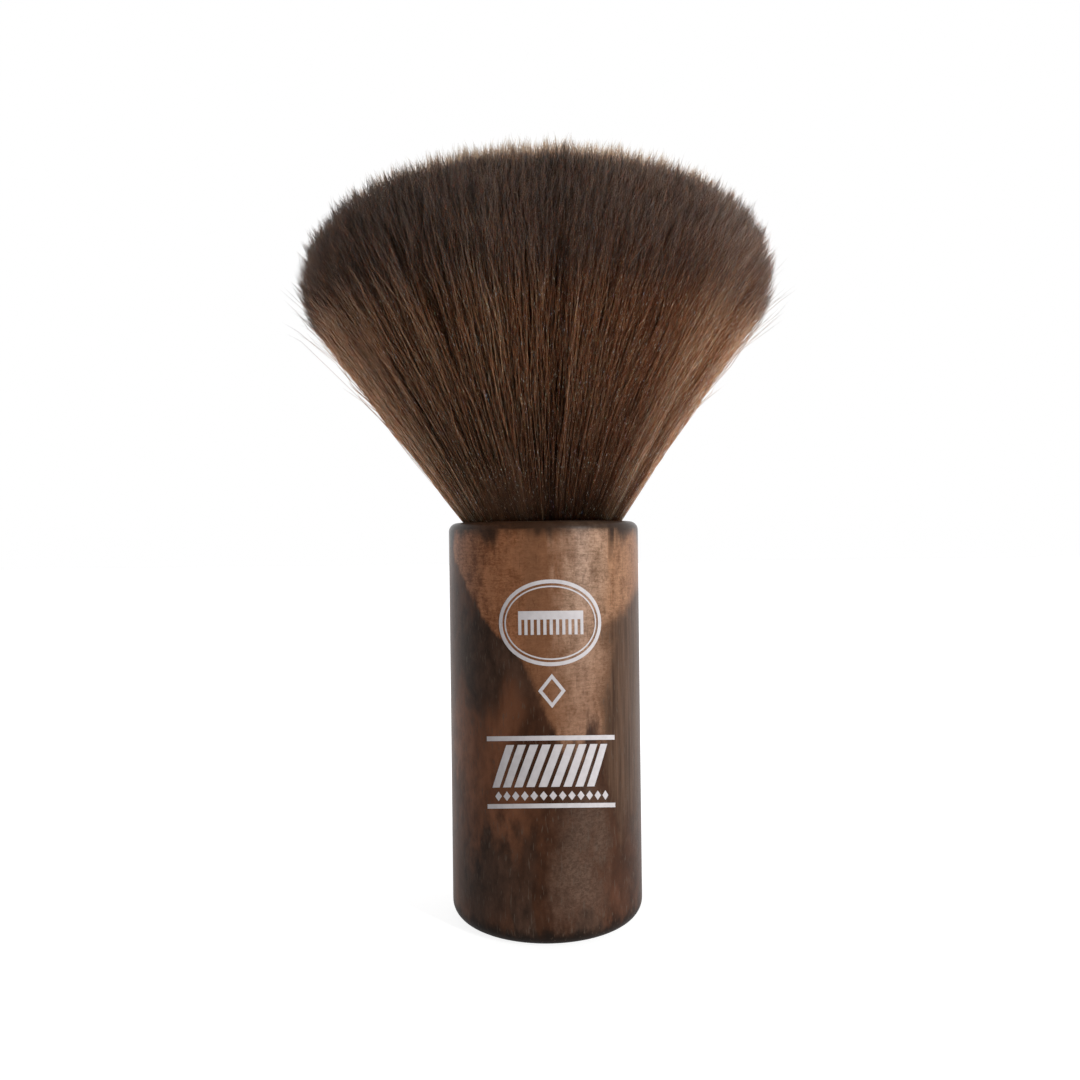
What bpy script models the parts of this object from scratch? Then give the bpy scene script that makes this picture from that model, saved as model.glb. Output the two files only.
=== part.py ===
"""Neck duster brush: a turned wooden barrel that holds a flared head of soft fibres.

Run it with blender --background --python part.py, or from Blender's text editor.
Units are metres and +Z is up. The origin is the centre of the base, and the print faces -Y.
"""

import math

import bmesh
import bpy

# Driving dimensions: the wooden barrel
HANDLE_RADIUS = 0.022
HANDLE_HEIGHT = 0.090
BASE_FILLET = 0.0033
RIM_FILLET = 0.0020
BORE_RADIUS = 0.0192
BORE_DEPTH = 0.0220
BORE_CHAMFER = 0.0003

# The fixing inside the bore, from its floor upwards
GAP = 0.0003  # clearance between neighbouring solids
GLUE_THICKNESS = 0.0010
CUP_WALL = 0.0008
CUP_FLOOR = 0.0010
CUP_LIP_BELOW_RIM = 0.0025
RESIN_THICKNESS = 0.0078

# The cord tied round the roots of the fibres
CORD_TURNS = 3
CORD_PITCH = 0.0012
CORD_RADIUS = 0.0005
CORD_COIL_RADIUS = 0.0160
CORD_POINTS_PER_TURN = 18

# The fibre head: straight flared sides that run tangent into an elliptical crown
ROOT_RADIUS = 0.0150
FAN_RADIUS = 0.0187  # where the head leaves the rim
CROWN_RADIUS = 0.0530
CROWN_RISE = 0.0255
CROWN_CENTRE_ABOVE_RIM = 0.0535
CORE_SHARE = 0.40  # of the head's flare, taken by the central hank
HANK_COUNT = 6
HANK_PARTING_ANGLE = math.radians(-86)  # one parting lies just right of the print

# The print on the front of the barrel. Heights are above the base, widths are across the front.
INK_THICKNESS = 0.0002
PRINT_ANGLE = math.radians(3.5)  # the print sits slightly right of the -Y direction
BADGE_HEIGHT = 0.0685
BADGE_SIZE = (0.0109, 0.0091)  # half width, half height
BADGE_LINE = 0.0009
COMB_SIZE = (0.0140, 0.0050)
COMB_TEETH = 11
DIAMOND_HEIGHT = 0.0542
DIAMOND_SIZE = (0.0029, 0.0036)
DIAMOND_LINE = 0.0008
RULE_HEIGHTS = {"upper": 0.0443, "lower": 0.0301}
RULE_SIZE = (0.0276, 0.0010)
POLE_HEIGHT = 0.0385
POLE_SIZE = (0.0250, 0.0089)
POLE_EDGE = 0.0006
POLE_STRIPES = 7
BEAD_HEIGHT = 0.0322
BEAD_SIZE = (0.0236, 0.0018)
BEAD_LINE = 0.0004
BEAD_COUNT = 11

TURN_STEPS = 72
ARC_STEPS = 6
CROWN_STEPS = 12
OVAL_STEPS = 40
MERGE_DISTANCE = 0.00001
SHARP_ANGLE = math.radians(35)

# Worked out from the driving dimensions
BORE_FLOOR = HANDLE_HEIGHT - BORE_DEPTH
GLUE_BOTTOM = BORE_FLOOR + GAP
CUP_BOTTOM = GLUE_BOTTOM + GLUE_THICKNESS + GAP
CUP_RADIUS = BORE_RADIUS - GAP
CUP_LIP = HANDLE_HEIGHT - CUP_LIP_BELOW_RIM
RESIN_BOTTOM = CUP_BOTTOM + CUP_FLOOR + GAP
RESIN_RADIUS = CUP_RADIUS - CUP_WALL - GAP
ROOT_BOTTOM = RESIN_BOTTOM + RESIN_THICKNESS + GAP
CROWN_CENTRE = HANDLE_HEIGHT + CROWN_CENTRE_ABOVE_RIM
WEDGE_REACH = 1.2 * CROWN_RADIUS
WEDGE_HEIGHT = 2 * HANDLE_HEIGHT
INK_RADIUS = HANDLE_RADIUS + GAP
SLEEVE_REACH = BADGE_SIZE[1] + BADGE_LINE  # up and down from the middle of a printed mark


def crown_point(angle):
    """Radius and height on the elliptical crown, with 90 degrees at the top."""
    return CROWN_RADIUS * math.cos(angle), CROWN_CENTRE + CROWN_RISE * math.sin(angle)


def shoulder_angle():
    """The crown angle where a line from the rim touches the crown without crossing it."""
    across = FAN_RADIUS / CROWN_RADIUS
    down = -CROWN_CENTRE_ABOVE_RIM / CROWN_RISE
    return math.atan2(down, across) + math.acos(1 / math.hypot(across, down))


SHOULDER = shoulder_angle()
SHOULDER_RADIUS, SHOULDER_HEIGHT = crown_point(SHOULDER)
SIDE_SLOPE = (SHOULDER_RADIUS - FAN_RADIUS) / (SHOULDER_HEIGHT - HANDLE_HEIGHT)
APEX_HEIGHT = HANDLE_HEIGHT - FAN_RADIUS / SIDE_SLOPE
ROOT_TOP = APEX_HEIGHT + ROOT_RADIUS / SIDE_SLOPE


def cone_meets_crown(slope):
    """The crown angle where a cone of this slope from the fan's apex comes out of the crown."""
    rise = slope * CROWN_RISE
    reach = slope * (CROWN_CENTRE - APEX_HEIGHT)
    return math.acos(reach / math.hypot(CROWN_RADIUS, rise)) - math.atan2(rise, CROWN_RADIUS)


def arc(centre, radius, start, end):
    """Points on an arc in the XZ plane, with angles in degrees and both ends included."""
    points = []
    for step in range(ARC_STEPS + 1):
        angle = math.radians(start + (end - start) * step / ARC_STEPS)
        points.append((centre[0] + radius * math.cos(angle), centre[1] + radius * math.sin(angle)))
    return points


def crown(start, end):
    """Points on the crown between two of its angles, both ends included."""
    return [crown_point(start + (end - start) * step / CROWN_STEPS) for step in range(CROWN_STEPS + 1)]


def clear_scene():
    for obj in list(bpy.data.objects):
        bpy.data.objects.remove(obj, do_unlink=True)


def new_collection(name):
    collection = bpy.data.collections.new(name)
    bpy.context.scene.collection.children.link(collection)
    return collection


def new_material(name, colour, roughness, metallic=0.0):
    material = bpy.data.materials.new(name)
    material.use_nodes = True
    shader = material.node_tree.nodes["Principled BSDF"]
    shader.inputs["Base Color"].default_value = (*colour, 1.0)
    shader.inputs["Roughness"].default_value = roughness
    shader.inputs["Metallic"].default_value = metallic
    return material


def new_object(name, data, collection):
    obj = bpy.data.objects.new(name, data)
    collection.objects.link(obj)
    return obj


def evaluated_mesh(obj, name):
    """A mesh of the object with its modifiers applied."""
    bpy.context.view_layer.update()
    graph = bpy.context.evaluated_depsgraph_get()
    mesh = bpy.data.meshes.new_from_object(obj.evaluated_get(graph))
    mesh.name = name
    return mesh


def turned(name, profile, collection, closed=False):
    """A turned solid, whose profile runs down its outer side from top to bottom."""
    mesh = bpy.data.meshes.new(name)
    edges = [(i, i + 1) for i in range(len(profile) - 1)]
    if closed:
        edges.append((len(profile) - 1, 0))
    mesh.from_pydata([(x, 0.0, z) for x, z in profile], edges, [])
    obj = new_object(name, mesh, collection)
    screw = obj.modifiers.new("turn", "SCREW")
    screw.steps = TURN_STEPS
    screw.render_steps = TURN_STEPS
    screw.use_merge_vertices = True
    screw.merge_threshold = MERGE_DISTANCE
    return obj


def disc_profile(radius, bottom, top):
    return [(0.0, top), (radius, top), (radius, bottom), (0.0, bottom)]


def as_cutter(obj):
    obj.hide_render = True
    obj.display_type = "WIRE"
    return obj


def keep_inside(obj, cutter):
    boolean = obj.modifiers.new("inside " + cutter.name, "BOOLEAN")
    boolean.operation = "INTERSECT"
    boolean.object = cutter


def finish(obj, material):
    """Apply the modifiers, shade round faces smooth and give the piece its material."""
    mesh = evaluated_mesh(obj, obj.name)
    obj.modifiers.clear()
    obj.data = mesh
    mesh.materials.clear()
    mesh.materials.append(material)
    mesh.shade_smooth()
    mesh.set_sharp_from_angle(angle=SHARP_ANGLE)


def make_handle(collection, material):
    """The turned barrel: a blind bore in the top, a rounded rim and a rounded base."""
    rim_arc = arc((HANDLE_RADIUS - RIM_FILLET, HANDLE_HEIGHT - RIM_FILLET), RIM_FILLET, 90, 0)
    base_arc = arc((HANDLE_RADIUS - BASE_FILLET, BASE_FILLET), BASE_FILLET, 0, -90)
    bore = [
        (0.0, BORE_FLOOR),
        (BORE_RADIUS, BORE_FLOOR),
        (BORE_RADIUS, HANDLE_HEIGHT - BORE_CHAMFER),
        (BORE_RADIUS + BORE_CHAMFER, HANDLE_HEIGHT),
    ]
    finish(turned("handle", bore + rim_arc + base_arc + [(0.0, 0.0)], collection), material)


def make_glue_bed(collection, material):
    """The adhesive under the cup."""
    profile = disc_profile(CUP_RADIUS, GLUE_BOTTOM, GLUE_BOTTOM + GLUE_THICKNESS)
    finish(turned("glue_bed", profile, collection), material)


def make_knot_cup(collection, material):
    """The thin cup that the bound fibres are potted in."""
    inner = CUP_RADIUS - CUP_WALL
    profile = [
        (0.0, CUP_BOTTOM + CUP_FLOOR),
        (inner, CUP_BOTTOM + CUP_FLOOR),
        (inner, CUP_LIP),
        (CUP_RADIUS, CUP_LIP),
        (CUP_RADIUS, CUP_BOTTOM),
        (0.0, CUP_BOTTOM),
    ]
    finish(turned("knot_cup", profile, collection), material)


def make_resin_plug(collection, material):
    """The cast resin that holds the cut ends of the fibres."""
    profile = disc_profile(RESIN_RADIUS, RESIN_BOTTOM, RESIN_BOTTOM + RESIN_THICKNESS)
    finish(turned("resin_plug", profile, collection), material)


def make_binding_cord(collection, material):
    """The cord wound round the roots, as one helix."""
    data = bpy.data.curves.new("binding_cord", "CURVE")
    data.dimensions = "3D"
    data.bevel_depth = CORD_RADIUS
    data.bevel_resolution = 2
    data.use_fill_caps = True
    count = CORD_TURNS * CORD_POINTS_PER_TURN + 1
    spline = data.splines.new("POLY")
    spline.points.add(count - 1)
    bottom = ROOT_BOTTOM + 2 * CORD_RADIUS
    for index, point in enumerate(spline.points):
        turns = index / CORD_POINTS_PER_TURN
        angle = 2 * math.pi * turns
        x = CORD_COIL_RADIUS * math.cos(angle)
        y = CORD_COIL_RADIUS * math.sin(angle)
        point.co = (x, y, bottom + CORD_PITCH * turns, 1.0)
    data.materials.append(material)
    new_object("binding_cord", data, collection)


def make_bristle_core(collection, material):
    """The central hank, a narrow cone under the top of the crown."""
    slope = CORE_SHARE * SIDE_SLOPE
    edge = cone_meets_crown(slope)
    foot = (slope * (ROOT_BOTTOM - APEX_HEIGHT), ROOT_BOTTOM)
    profile = crown(math.pi / 2, edge) + [foot, (0.0, ROOT_BOTTOM)]
    finish(turned("bristle_core", profile, collection), material)


def outer_hank_profile():
    """The ring between the central hank and the outside of the head, as a closed outline."""
    slope = CORE_SHARE * SIDE_SLOPE
    clearance = GAP / math.cos(math.atan(slope))
    inner_top_radius, inner_top = crown_point(cone_meets_crown(slope))
    inner_foot = (slope * (ROOT_BOTTOM - APEX_HEIGHT) + clearance, ROOT_BOTTOM)
    top = crown(cone_meets_crown(slope), SHOULDER)[1:]
    return [
        (inner_top_radius + clearance, inner_top - GAP / 2),
        *top,
        (FAN_RADIUS, HANDLE_HEIGHT),
        (ROOT_RADIUS, ROOT_TOP),
        (ROOT_RADIUS, ROOT_BOTTOM),
        inner_foot,
    ]


def wedge_cutter(name, middle_angle, collection):
    """A tall wedge from the axis, with half a gap taken off each of its two sides."""
    half = math.pi / HANK_COUNT
    tip = 0.5 * GAP / math.sin(half)
    reach = WEDGE_REACH / math.cos(half)
    outline = [(tip * math.cos(middle_angle), tip * math.sin(middle_angle))]
    for angle in (middle_angle - half, middle_angle + half):
        outline.append((outline[0][0] + reach * math.cos(angle), outline[0][1] + reach * math.sin(angle)))
    shape = bmesh.new()
    face = shape.faces.new([shape.verts.new((x, y, 0.0)) for x, y in outline])
    grown = bmesh.ops.extrude_face_region(shape, geom=[face])["geom"]
    lifted = [item for item in grown if isinstance(item, bmesh.types.BMVert)]
    bmesh.ops.translate(shape, verts=lifted, vec=(0.0, 0.0, WEDGE_HEIGHT))
    bmesh.ops.recalc_face_normals(shape, faces=shape.faces)
    mesh = bpy.data.meshes.new(name)
    shape.to_mesh(mesh)
    shape.free()
    return as_cutter(new_object(name, mesh, collection))


def make_outer_hanks(collection, cutters, material):
    """The hanks round the core, parted by flat planes through the axis."""
    step = 2 * math.pi / HANK_COUNT
    for index in range(HANK_COUNT):
        hank = turned(f"bristle_hank_{index + 1}", outer_hank_profile(), collection, closed=True)
        middle = HANK_PARTING_ANGLE + (index + 0.5) * step
        keep_inside(hank, wedge_cutter(f"wedge_{index + 1}", middle, cutters))
        finish(hank, material)


def oval(half_width, half_height):
    angles = [2 * math.pi * step / OVAL_STEPS for step in range(OVAL_STEPS)]
    return [(half_width * math.cos(angle), half_height * math.sin(angle)) for angle in angles]


def rectangle(width, height):
    x, z = width / 2, height / 2
    return [(-x, -z), (x, -z), (x, z), (-x, z)]


def lozenge(half_width, half_height):
    return [(half_width, 0.0), (0.0, half_height), (-half_width, 0.0), (0.0, -half_height)]


def comb_outline():
    """A barber's comb: a solid back with evenly spaced teeth under it."""
    width, height = COMB_SIZE
    left, top = -width / 2, height / 2
    pitch = width / (2 * COMB_TEETH - 1)
    root = top - 0.36 * height
    points = [(left, top)]
    for tooth in range(COMB_TEETH):
        start = left + 2 * tooth * pitch
        points += [(start, -top), (start + pitch, -top)]
        if tooth < COMB_TEETH - 1:
            points += [(start + pitch, root), (start + 2 * pitch, root)]
    points.append((-left, top))
    return points


def pole_outlines():
    """Barber's pole stripes: slanted bars joined by a thin edge above and below."""
    width, height = POLE_SIZE
    lean = height / 2
    bar = (width - lean) / (2 * POLE_STRIPES - 1)
    half = height / 2 - POLE_EDGE
    shift = lean * half / height
    middle = height / 2
    outer = [
        (-width / 2, -middle),
        (width / 2 - lean, -middle),
        (width / 2, middle),
        (-width / 2 + lean, middle),
    ]
    holes = []
    for stripe in range(POLE_STRIPES - 1):
        left = -(width - lean) / 2 + (2 * stripe + 1) * bar
        foot, head = left - shift, left + shift
        holes.append([(foot, -half), (foot + bar, -half), (head + bar, half), (head, half)])
    return [outer] + holes


def bead_outline():
    """A thin line with small lozenges strung along it."""
    width, height = BEAD_SIZE
    pitch = width / BEAD_COUNT
    line = BEAD_LINE / 2
    reach = height / 2
    joint = reach - line
    upper = []
    for bead in range(BEAD_COUNT):
        middle = -width / 2 + (bead + 0.5) * pitch
        upper += [(middle - joint, line), (middle, reach), (middle + joint, line)]
    lower = [(x, -z) for x, z in reversed(upper)]
    return upper + lower


def outline_cutter(name, outlines, height, collection):
    """A thick plate cut to the outlines, standing in front of the barrel at this height."""
    data = bpy.data.curves.new(name, "CURVE")
    data.dimensions = "2D"
    data.fill_mode = "BOTH"
    data.extrude = HANDLE_RADIUS / 2
    for outline in outlines:
        spline = data.splines.new("POLY")
        spline.points.add(len(outline) - 1)
        for point, (x, z) in zip(spline.points, outline):
            point.co = (x, z, 0.0, 1.0)
        spline.use_cyclic_u = True
    curve = new_object(name + "_curve", data, collection)
    curve.rotation_euler = (math.pi / 2, 0.0, 0.0)
    curve.location = (0.0, -HANDLE_RADIUS, height)
    mesh = evaluated_mesh(curve, name)
    shape = bmesh.new()
    shape.from_mesh(mesh)
    bmesh.ops.remove_doubles(shape, verts=shape.verts, dist=MERGE_DISTANCE)
    bmesh.ops.recalc_face_normals(shape, faces=shape.faces)
    shape.to_mesh(mesh)
    shape.free()
    cutter = new_object(name, mesh, collection)
    cutter.matrix_world = curve.matrix_world
    bpy.data.objects.remove(curve, do_unlink=True)
    return as_cutter(cutter)


def make_print(name, outlines, height, collection, cutters, material):
    """One printed mark: the part of a thin sleeve round the barrel that its outline covers."""
    outer = INK_RADIUS + INK_THICKNESS
    top, bottom = height + SLEEVE_REACH, height - SLEEVE_REACH
    profile = [(INK_RADIUS, top), (outer, top), (outer, bottom), (INK_RADIUS, bottom)]
    mark = turned(name, profile, collection, closed=True)
    keep_inside(mark, outline_cutter(name + "_cutter", outlines, height, cutters))
    finish(mark, material)
    mark.rotation_euler = (0.0, 0.0, PRINT_ANGLE)


def make_prints(collection, cutters, material):
    """The printed marks, from the badge at the top to the rule at the bottom."""
    half_width, half_height = BADGE_SIZE
    inner = oval(half_width - BADGE_LINE, half_height - BADGE_LINE)
    width, height = DIAMOND_SIZE
    hole = lozenge(width - DIAMOND_LINE, height - DIAMOND_LINE * height / width)
    marks = [
        ("print_badge_ring", [oval(half_width, half_height), inner], BADGE_HEIGHT),
        ("print_comb", [comb_outline()], BADGE_HEIGHT),
        ("print_diamond", [lozenge(width, height), hole], DIAMOND_HEIGHT),
        ("print_rule_upper", [rectangle(*RULE_SIZE)], RULE_HEIGHTS["upper"]),
        ("print_pole_stripes", pole_outlines(), POLE_HEIGHT),
        ("print_bead_line", [bead_outline()], BEAD_HEIGHT),
        ("print_rule_lower", [rectangle(*RULE_SIZE)], RULE_HEIGHTS["lower"]),
    ]
    for name, outlines, mark_height in marks:
        make_print(name, outlines, mark_height, collection, cutters, material)


def main():
    clear_scene()
    brush = new_collection("neck_duster_brush")
    cutters = new_collection("cutters")
    wood = new_material("dark_wood", (0.080, 0.035, 0.018), 0.40)
    glue = new_material("adhesive", (0.55, 0.45, 0.25), 0.50)
    aluminium = new_material("cup_aluminium", (0.75, 0.75, 0.77), 0.35, metallic=1.0)
    resin = new_material("cast_resin", (0.60, 0.40, 0.16), 0.25)
    cord = new_material("tie_cord", (0.70, 0.64, 0.52), 0.90)
    fibre = new_material("fibre", (0.055, 0.035, 0.030), 0.60)
    ink = new_material("white_ink", (0.80, 0.76, 0.76), 0.60)
    make_handle(brush, wood)
    make_glue_bed(brush, glue)
    make_knot_cup(brush, aluminium)
    make_resin_plug(brush, resin)
    make_binding_cord(brush, cord)
    make_bristle_core(brush, fibre)
    make_outer_hanks(brush, cutters, fibre)
    make_prints(brush, cutters, ink)


main()
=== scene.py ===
"""Looks of the neck duster brush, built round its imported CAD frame.

The fibres are real geometry: each one is a closed, tapered, three-sided strand that fans out from a point
below the rim to its own tip near the crown. The wood, the ink and the fibres have node-based materials.
Metres, +Z up, and the print faces -Y.
"""

import math
from collections import namedtuple

import bmesh
import bpy
import numpy as np
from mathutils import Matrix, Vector


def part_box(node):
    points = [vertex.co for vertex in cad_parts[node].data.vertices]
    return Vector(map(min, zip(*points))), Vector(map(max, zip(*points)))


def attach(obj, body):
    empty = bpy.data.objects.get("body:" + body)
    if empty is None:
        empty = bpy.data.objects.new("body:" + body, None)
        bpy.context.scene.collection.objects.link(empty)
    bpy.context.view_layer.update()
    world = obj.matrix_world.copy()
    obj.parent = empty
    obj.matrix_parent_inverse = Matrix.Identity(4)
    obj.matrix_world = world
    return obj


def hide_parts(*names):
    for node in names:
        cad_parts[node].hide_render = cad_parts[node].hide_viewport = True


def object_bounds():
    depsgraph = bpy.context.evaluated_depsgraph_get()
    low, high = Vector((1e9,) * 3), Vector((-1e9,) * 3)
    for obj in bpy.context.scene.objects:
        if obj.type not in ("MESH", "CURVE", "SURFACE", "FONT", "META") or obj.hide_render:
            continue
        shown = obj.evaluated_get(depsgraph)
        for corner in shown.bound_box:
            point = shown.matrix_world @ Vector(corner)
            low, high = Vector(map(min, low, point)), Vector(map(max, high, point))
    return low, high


MM = 0.001
BORE_GAP = 0.3 * MM  # left round the cup and under the glue

# Places and sizes from the frame
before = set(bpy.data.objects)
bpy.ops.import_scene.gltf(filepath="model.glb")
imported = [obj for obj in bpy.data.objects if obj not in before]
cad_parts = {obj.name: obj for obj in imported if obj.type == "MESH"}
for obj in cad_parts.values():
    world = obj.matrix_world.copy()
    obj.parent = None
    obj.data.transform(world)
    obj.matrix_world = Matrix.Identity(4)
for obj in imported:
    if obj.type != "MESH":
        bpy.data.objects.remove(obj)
CAD_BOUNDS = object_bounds()
HANDLE_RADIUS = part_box("handle")[1].x
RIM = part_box("handle")[1].z
ROOT_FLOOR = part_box("bristle_core")[0].z
BORE_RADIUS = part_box("knot_cup")[1].x + BORE_GAP
BORE_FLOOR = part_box("glue_bed")[0].z - BORE_GAP
CROWN_RADIUS = CAD_BOUNDS[1].x
CROWN_TOP = CAD_BOUNDS[1].z

# The turned barrel's roundings, and the fan of the fibres, as in the CAD solids
BASE_FILLET = 3.3 * MM
RIM_FILLET = 2.0 * MM
BORE_CHAMFER = 0.3 * MM
FAN_RADIUS = 18.7 * MM  # of the head where it leaves the rim
ROOT_RADIUS = 15.0 * MM
CROWN_RISE = 25.5 * MM  # from the widest part of the crown's ellipse to its top
CROWN_CENTRE = CROWN_TOP - CROWN_RISE
HANK_COUNT = 6
HANK_PARTING = math.radians(-86)
CORE_SHARE = 0.40

# The camera, about level with the rim and close in front, turned so that the brush leans left in the picture
EYE = Vector((-0.8, -213, 85.9)) * MM
LENS = 30.33
SENSOR = 36.0
ROLL = math.radians(0.68)

# The print
PRINT_ANGLE = math.radians(3.5)
INK_TOP = 0.05 * MM
INK_BOTTOM = 0.01 * MM
INK_FACET = 0.5 * MM

# How many fibres there are, and how thick. A share is of the fan's radius, unless it says otherwise.
SEED = 11
CORE_FIBRES = 11000
HANK_FIBRES = 9900
FIBRE_RADIUS = 0.065 * MM
FIBRE_RADII = (0.8, 1.25)  # the thinnest and the thickest, as a share of that radius
STRAY_RADIUS = 0.6  # of a stray, as a share of its own radius
TIP_FINENESS = 0.85  # a fibre's radius where its point begins, as a share of its full radius
FAN_SHARE = 0.975  # where the straight part of the outermost fibres runs
LONG_SHARE = 0.90  # fibres that end further out than this are seen along their length
LONG_RINGS = (0.0, 0.27, 0.54, 0.78, 0.94)
SHORT_RINGS = (0.0, 0.50, 0.84)
SHORT_LENGTH = 24 * MM  # of an inner fibre, above the dark heart of the head
START_BELOW_RIM = 3 * MM

# Where the fibres end
TIP_REACH = 2.1 * MM  # of the longest fibres past the smooth crown
TIP_SCATTER = 0.30 * MM
SWELL = 1.0 * MM  # the crown stands out this much more round SWELL_SHARE
SWELL_SHARE = 0.77
SWELL_WIDTH = 0.13
CROWN_TILT = 0.013  # the crown stands this much higher per unit of distance to the right
SHORTENED_FIBRES = 0.3  # as a share of the outermost fibres
SHORTENED_BY = 0.28  # at most, as a share of the distance from the fan's apex

# How the fibres gather and spread
CLUMP_SIZE = 0.023  # of the tufts at the crown
LOCK_SIZE = 0.085  # of the broader locks, which the fibres lean into over their whole length
TRAIT_COUNT = 4  # of the random traits that a clump has
RISE_TRAIT, TONE_TRAIT, PULL_TRAIT, SPLAY_TRAIT = range(TRAIT_COUNT)
CLUMP_LENGTH = 6 * MM  # over which the fibres of a clump draw together, up to their tips
CLUMP_CURVE = 1.5
CLUMP_RISE = 0.55 * MM  # how much further or less far out one clump's tips end than another's
CLUMP_POINT = 2.8 * MM  # how much shorter a fibre is one clump's size away from the clump's centre
CLUMP_PULL = 0.82  # how far the tips draw together, where 1 is to one point
CLUMP_PULL_SCATTER = 0.1
CLUMP_PULL_LIMITS = (0.5, 0.97)
LOCK_PULL = 0.11
SWAY = 0.016  # of a fibre to the side
SWAY_AT_TIP = 0.15  # the share of its sway that a fibre keeps at its tip
STRAY_FIBRES = 0.05  # as a share of the fibres from STRAY_FROM outwards, which stand off by themselves
STRAY_FROM = 0.96
STRAY_SPLAY = (0.02, 0.14)
SPLAY = 0.026  # of the outermost tips, outwards
CLUMP_SPLAY = 0.016
FIBRE_SPLAY = 0.006
SPLAY_FROM = 0.8
SPLAY_CURVE = 3.5
SPLAY_AXIS = 0.05  # fibres nearer to the axis than this splay less
ASIDE = (0.31, 0.95, 0.05)  # a direction that no fibre runs in
HEAD_BOW = -5.6 * MM  # sideways: the head bows out by a quarter of this halfway up

# The fibres' tones, from 0 for the darkest to 1 for the lightest, and the map that holds them
TONE = 0.42
FIBRE_TONE = 0.09  # how much the tone differs from fibre to fibre
CLUMP_TONE = 0.03
LOCK_TONE = 0.05
HANK_SHADES = (-0.05, 0.0, 0.03, -0.02, 0.0, 0.03)  # lighter or darker, anticlockwise from the front parting
SIDE_PLACES = (-0.88, -0.68, 0.60, 0.80)  # how far to the right, as a share of the distance from the axis
SIDE_PAINTED_LIGHT = (0.28, 0.0, 0.0, 0.37)  # painted light: lighter there, where light from the sides and from behind falls on the head
PARTING_WIDTH = 0.07  # of the painted shade that darkens the fibres beside a parting
PARTING_PAINTED_SHADE = 0.24
TONE_LENGTH = 95 * MM  # the length of fibre that one strip of the map stands for
TONE_WIDTH = 0.02
BAND_DROPS = ((0.66, 0.78, 3.0 * MM), (0.86, 0.96, 1.0 * MM))  # the bands of colour sit lower on outer fibres

# The bands of colour along a fibre, as places on its map: 1 is the crown and 0 is TONE_LENGTH below it
ROOT_BAND = (0.36, 0.77)
ROOT_PAINTED_SHADE = (0.44, 0.44, 0.44, 1.0)  # painted shade: the fibres' colours are multiplied by this at the roots, where less light reaches
TONES_LIT_TO_ROOTS = (0.52, 0.80, 0.0, 0.8)  # over these tones, fibres lose so much of that painted shade
FLECK_TONE_AND_LIGHT = 0.30  # how much lighter or darker a fibre is from place to place: partly its own unevenness, partly painted shade and highlight where fibres weave over one another
UPPER_BAND = (0.845, 0.955)
TIP_BAND = (0.925, 0.965)
END_GLOW_BAND = (0.971, 0.983)
BAND_FEATHER = 0.055  # how far the bands start higher or lower from fibre to fibre
GLINTS = (0.745, 0.78)  # where their noise is above these
GLINTS_END = (0.93, 0.87)
LIGHT_DEPTH = 0.33 * MM  # how far light goes into the fibres
OPAQUE_DEPTH = 0.05 * MM
OPAQUE_FROM = (0.86, 0.94)  # between these two bands a fibre lets less light through
OPAQUE_TO = (0.984, 0.971)
FIBRE_COLOURS = (
    (0.00, (0.050, 0.021, 0.011)),
    (0.30, (0.150, 0.064, 0.034)),
    (0.55, (0.270, 0.130, 0.073)),
    (0.80, (0.440, 0.250, 0.155)),
    (1.00, (0.680, 0.480, 0.360)),
)
# greyer towards the crown as the fibres' own colour, and darker there as painted shade between the crown's
# tips
UPPER_COLOURS = (
    (0.00, (0.044, 0.039, 0.037)),
    (0.45, (0.080, 0.071, 0.068)),
    (1.00, (0.138, 0.123, 0.118)),
)
TIP_COLOURS = ((0.0, (0.016, 0.0145, 0.0145)), (1.0, (0.042, 0.039, 0.039)))
# painted glow of the light that shines through the fibres' ends
END_GLOW_COLOUR = (0.260, 0.150, 0.095, 1.0)
GLINT_COLOUR = (0.92, 0.84, 0.76, 1.0)

# The dense heart of the head, near black as painted shade deep among the fibres
HEART_DEPTH = 7 * MM  # under the crown
HEART_SHARE = 0.90

# The wood's colours, each from its darker to its lighter end
ESPRESSO = ((0.030, 0.012, 0.006), (0.080, 0.031, 0.015))
UMBER = ((0.070, 0.027, 0.013), (0.160, 0.063, 0.031))
BLACK = ((0.036, 0.019, 0.012), (0.100, 0.051, 0.033))
RED = ((0.058, 0.023, 0.012), (0.125, 0.052, 0.030))
RUST = ((0.150, 0.056, 0.027), (0.290, 0.117, 0.060))
WALNUT = ((0.050, 0.025, 0.014), (0.130, 0.070, 0.042))
# painted highlight: paler, greyer grain low on the front
SHEEN = ((0.085, 0.051, 0.035), (0.170, 0.104, 0.073))
COPPER = ((0.220, 0.080, 0.033), (0.520, 0.218, 0.104))
AMBER = ((0.150, 0.062, 0.028), (0.300, 0.135, 0.068))
# gold figure, lighter and greyer where it also carries a painted highlight down the front
GOLD_AND_HIGHLIGHT = ((0.200, 0.108, 0.061), (0.510, 0.317, 0.213))
HONEY = ((0.190, 0.086, 0.042), (0.440, 0.235, 0.130))
# darker colour under the rim on the right
RIM_DARK_TINT = (0.090, 0.045, 0.026, 1.0)
ENDS_DARK_COLOUR = (0.012, 0.008, 0.006, 1.0)
PORE_IN_FLAME = (0.050, 0.022, 0.012, 1.0)
PORE_OUTSIDE = (0.110, 0.075, 0.055, 1.0)
CROSS_GRAIN = (0.02, 0.01, 0.006, 1.0)

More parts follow.
